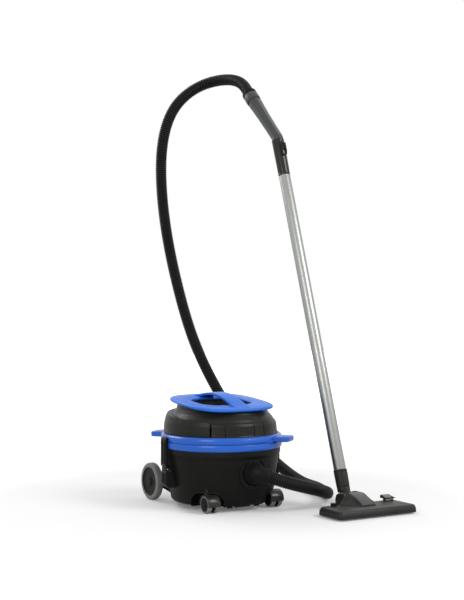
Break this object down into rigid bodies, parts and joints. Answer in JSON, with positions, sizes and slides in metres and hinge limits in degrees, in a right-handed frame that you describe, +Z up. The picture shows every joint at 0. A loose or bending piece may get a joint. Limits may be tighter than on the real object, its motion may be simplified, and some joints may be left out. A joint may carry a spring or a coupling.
{
  "type": "canister vacuum cleaner",
  "caption": "Round tub vacuum cleaner on wheels and casters with a blue handle plate, ribbed hose, steel wand and a wide floor head.",
  "frame": {"origin": "on the floor, at the middle of the box round the tub, the wand with its handle and the floor head, the hose left out", "axes": "+Z up, -Y towards the front where the hose leaves the tub, +X towards the side on which the wand stands; the rear wheels' axle lies along X"},
  "size_m": [0.5878, 0.9515, 1.3597],
  "materials": {
    "blue_plastic": "satin",
    "black_shell": "satin",
    "head_plastic": "satin",
    "gloss_black": "polished",
    "dark_grey_plastic": "fine grain",
    "hose_black": "satin",
    "pale_grey_plastic": "satin",
    "wheel_black": "satin",
    "tyre_grey": "matt",
    "black_rubber": "matt",
    "bright_tube": "polished",
    "steel": "brushed",
    "filter_cloth": "felted",
    "bag_paper": "matt",
    "bristle_black": "matt"
  },
  "bodies": {
    "machine_body": {"tub": "black_shell", "tub_ring": "blue_plastic", "tub_seal": "black_rubber", "head_ring": "blue_plastic", "head_cover": "head_plastic", "side_panel": "gloss_black", "cord_gland": "black_rubber", "top_plate": "blue_plastic", "head_base": "black_shell", "motor_body": "steel", "fan_housing": "steel", "filter_basket": "black_shell", "cloth_filter": "filter_cloth", "dust_bag": "bag_paper", "bag_collar": "bag_paper", "inlet_flange": "black_shell", "inlet_elbow": "black_shell", "hose": "hose_black", "hose_cuff": "hose_black", "handle_tube": "dark_grey_plastic", "handle_sleeve": "gloss_black", "wand": "bright_tube", "neck_socket": "dark_grey_plastic", "rear_axle": "steel", "wheel_bracket_left": "black_shell", "wheel_bracket_right": "black_shell", "latch_bracket_left": "black_shell", "latch_bracket_right": "black_shell", "latch_pin_left": "steel", "latch_pin_right": "steel"},
    "rear_wheel_left": {"rear_tyre_left": "tyre_grey", "rear_hub_left": "black_shell"},
    "rear_wheel_right": {"rear_tyre_right": "tyre_grey", "rear_hub_right": "black_shell"},
    "caster_left": {"caster_hood_left": "gloss_black", "caster_axle_left": "steel"},
    "caster_right": {"caster_hood_right": "gloss_black", "caster_axle_right": "steel"},
    "caster_wheel_left_a": {"caster_wheel_left_a": "wheel_black"},
    "caster_wheel_left_b": {"caster_wheel_left_b": "wheel_black"},
    "caster_wheel_right_a": {"caster_wheel_right_a": "wheel_black"},
    "caster_wheel_right_b": {"caster_wheel_right_b": "wheel_black"},
    "latch_left": {"latch_lever_left": "black_shell"},
    "latch_right": {"latch_lever_right": "black_shell"},
    "suction_slider": {"suction_slider": "black_shell"},
    "power_switch": {"power_switch": "black_shell"},
    "impeller": {"impeller": "steel"},
    "neck": {"neck_elbow": "dark_grey_plastic"},
    "floor_head": {"floor_head_body": "dark_grey_plastic", "dome_cover": "gloss_black", "sole_plate": "steel", "neck_pin": "steel", "pedal_pin": "steel", "head_knob": "black_shell"},
    "brush_pedal": {"brush_pedal": "pale_grey_plastic"},
    "brush_strips": {"brush_front": "bristle_black", "brush_rear": "bristle_black"},
    "sole_roller_left": {"sole_roller_left": "black_rubber"},
    "sole_roller_right": {"sole_roller_right": "black_rubber"}
  },
  "joints": [
    {"name": "rear_wheel_spin_left", "type": "hinge", "parent": "machine_body", "child": "rear_wheel_left", "pos_m": [-0.23913, 0.25543, 0.056], "axis": [1, 0, 0], "continuous": true},
    {"name": "rear_wheel_spin_right", "type": "hinge", "parent": "machine_body", "child": "rear_wheel_right", "pos_m": [0.03287, 0.25543, 0.056], "axis": [1, 0, 0], "continuous": true},
    {"name": "caster_swivel_left", "type": "hinge", "parent": "machine_body", "child": "caster_left", "pos_m": [-0.21013, -0.02957, 0.06], "axis": [0, 0, 1], "continuous": true},
    {"name": "caster_spin_left_a", "type": "hinge", "parent": "caster_left", "child": "caster_wheel_left_a", "pos_m": [-0.22213, -0.04557, 0.025], "axis": [1, 0, 0], "continuous": true},
    {"name": "caster_spin_left_b", "type": "hinge", "parent": "caster_left", "child": "caster_wheel_left_b", "pos_m": [-0.19813, -0.04557, 0.025], "axis": [1, 0, 0], "continuous": true},
    {"name": "caster_swivel_right", "type": "hinge", "parent": "machine_body", "child": "caster_right", "pos_m": [0.00387, -0.02957, 0.06], "axis": [0, 0, 1], "continuous": true},
    {"name": "caster_spin_right_a", "type": "hinge", "parent": "caster_right", "child": "caster_wheel_right_a", "pos_m": [-0.00813, -0.04557, 0.025], "axis": [1, 0, 0], "continuous": true},
    {"name": "caster_spin_right_b", "type": "hinge", "parent": "caster_right", "child": "caster_wheel_right_b", "pos_m": [0.01587, -0.04557, 0.025], "axis": [1, 0, 0], "continuous": true},
    {"name": "latch_hinge_left", "type": "hinge", "parent": "machine_body", "child": "latch_left", "pos_m": [-0.28419, 0.08509, 0.1165], "axis": [-0.0698, -0.9976, 0], "range_deg": [0, 95]},
    {"name": "latch_hinge_right", "type": "hinge", "parent": "machine_body", "child": "latch_right", "pos_m": [0.07793, 0.05977, 0.1165], "axis": [0.0698, 0.9976, 0], "range_deg": [0, 95]},
    {"name": "suction_slide", "type": "slide", "parent": "machine_body", "child": "suction_slider", "axis": [0, 0.3156, 0.9489], "range_m": [0, 0.012]},
    {"name": "power_press", "type": "slide", "parent": "machine_body", "child": "power_switch", "axis": [-0.5, -0.866, 0], "range_m": [0, 0.003]},
    {"name": "impeller_spin", "type": "hinge", "parent": "machine_body", "child": "impeller", "pos_m": [-0.10313, 0.07243, 0.175], "axis": [0, 0, 1], "continuous": true},
    {"name": "neck_swivel", "type": "hinge", "parent": "machine_body", "child": "neck", "pos_m": [0.15887, -0.18086, 0.06204], "axis": [0, 0.3156, 0.9489], "range_deg": [-12, 12]},
    {"name": "neck_tilt", "type": "hinge", "parent": "neck", "child": "floor_head", "pos_m": [0.15887, -0.21257, 0.034], "axis": [1, 0, 0], "range_deg": [-30, 10]},
    {"name": "pedal_rock", "type": "hinge", "parent": "floor_head", "child": "brush_pedal", "pos_m": [0.26587, -0.25357, 0.0305], "axis": [1, 0, 0], "range_deg": [0, 6]},
    {"name": "brush_lift", "type": "slide", "parent": "floor_head", "child": "brush_strips", "axis": [0, 0, 1], "range_m": [0, 0.004]},
    {"name": "roller_spin_left", "type": "hinge", "parent": "floor_head", "child": "sole_roller_left", "pos_m": [0.08887, -0.27757, 0.007], "axis": [1, 0, 0], "continuous": true},
    {"name": "roller_spin_right", "type": "hinge", "parent": "floor_head", "child": "sole_roller_right", "pos_m": [0.22887, -0.27757, 0.007], "axis": [1, 0, 0], "continuous": true}
  ],
  "couplings": [
    {"joint": "pedal_rock", "follows": "brush_lift", "rad_per_m": 26.17}
  ]
}
